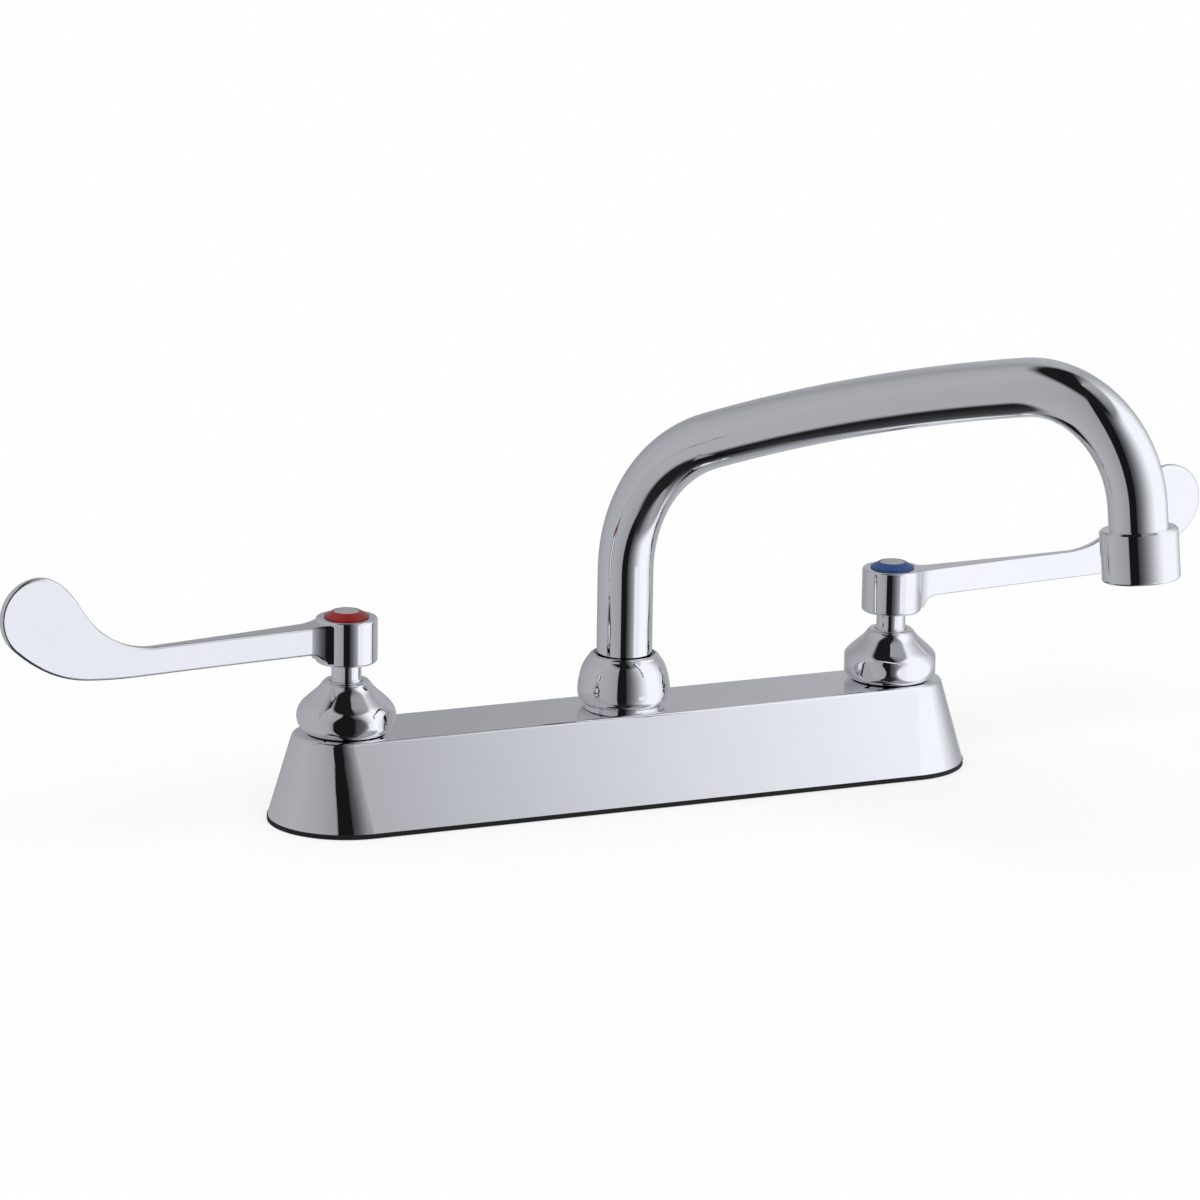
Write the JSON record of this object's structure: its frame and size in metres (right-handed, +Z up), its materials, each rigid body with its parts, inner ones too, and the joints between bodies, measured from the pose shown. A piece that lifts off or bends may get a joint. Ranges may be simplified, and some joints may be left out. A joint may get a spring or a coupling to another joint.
{
  "type": "deck mounted kitchen faucet",
  "caption": "Chromed deck faucet: long drafted base on a gasket, hot and cold valves with wristblade handles, and a swinging arc spout with an outlet collar.",
  "frame": {"origin": "on the deck plane under the spout's swing axis, at the centre of the gasket's underside", "axes": "+Z up along the spout's swing axis; X along the line of the two valves, hot at -X and cold at +X; the user stands at -Y"},
  "size_m": [0.4556, 0.2179, 0.173],
  "materials": {
    "chrome": "polished chrome plate on cast brass, tube and nuts",
    "brass": "machined, unplated",
    "rubber": "matt black",
    "acetal": "natural acetal",
    "ceramic": null,
    "steel": "stainless steel",
    "button_red": "glossy red",
    "button_blue": "glossy blue",
    "button_white": "glossy pale grey, bare"
  },
  "bodies": {
    "base": {"base_casting": "chrome", "base_gasket": "rubber", "spout_nut": "chrome", "spout_bearing_ring": "acetal", "hot_bonnet": "chrome", "hot_cartridge_housing": "chrome", "hot_fixed_disc": "ceramic", "hot_seat_seal": "rubber", "hot_housing_oring": "rubber", "cold_bonnet": "chrome", "cold_cartridge_housing": "chrome", "cold_fixed_disc": "ceramic", "cold_seat_seal": "rubber", "cold_housing_oring": "rubber"},
    "hot_handle": {"hot_handle": "chrome", "hot_index_ring": "button_red", "hot_index_cap": "button_white", "hot_handle_screw": "steel", "hot_stem": "brass", "hot_stem_orings": "rubber", "hot_moving_disc": "ceramic"},
    "cold_handle": {"cold_handle": "chrome", "cold_index_ring": "button_blue", "cold_index_cap": "button_white", "cold_handle_screw": "steel", "cold_stem": "brass", "cold_stem_orings": "rubber", "cold_moving_disc": "ceramic"},
    "spout": {"spout_tube": "chrome", "spout_spigot": "brass", "spout_orings": "rubber", "outlet_collar": "chrome", "aerator_washer": "rubber", "aerator_screen": "steel", "aerator_insert": "acetal"}
  },
  "joints": [
    {"name": "hot_handle_turn", "type": "hinge", "parent": "base", "child": "hot_handle", "pos_m": [-0.1016, 0, 0.062], "axis": [0, 0, 1], "range_deg": [0, 90]},
    {"name": "cold_handle_turn", "type": "hinge", "parent": "base", "child": "cold_handle", "pos_m": [0.1016, 0, 0.062], "axis": [0, 0, -1], "range_deg": [0, 90]},
    {"name": "spout_swing", "type": "hinge", "parent": "base", "child": "spout", "pos_m": [0, 0, 0.045], "axis": [0, 0, 1], "continuous": true}
  ]
}
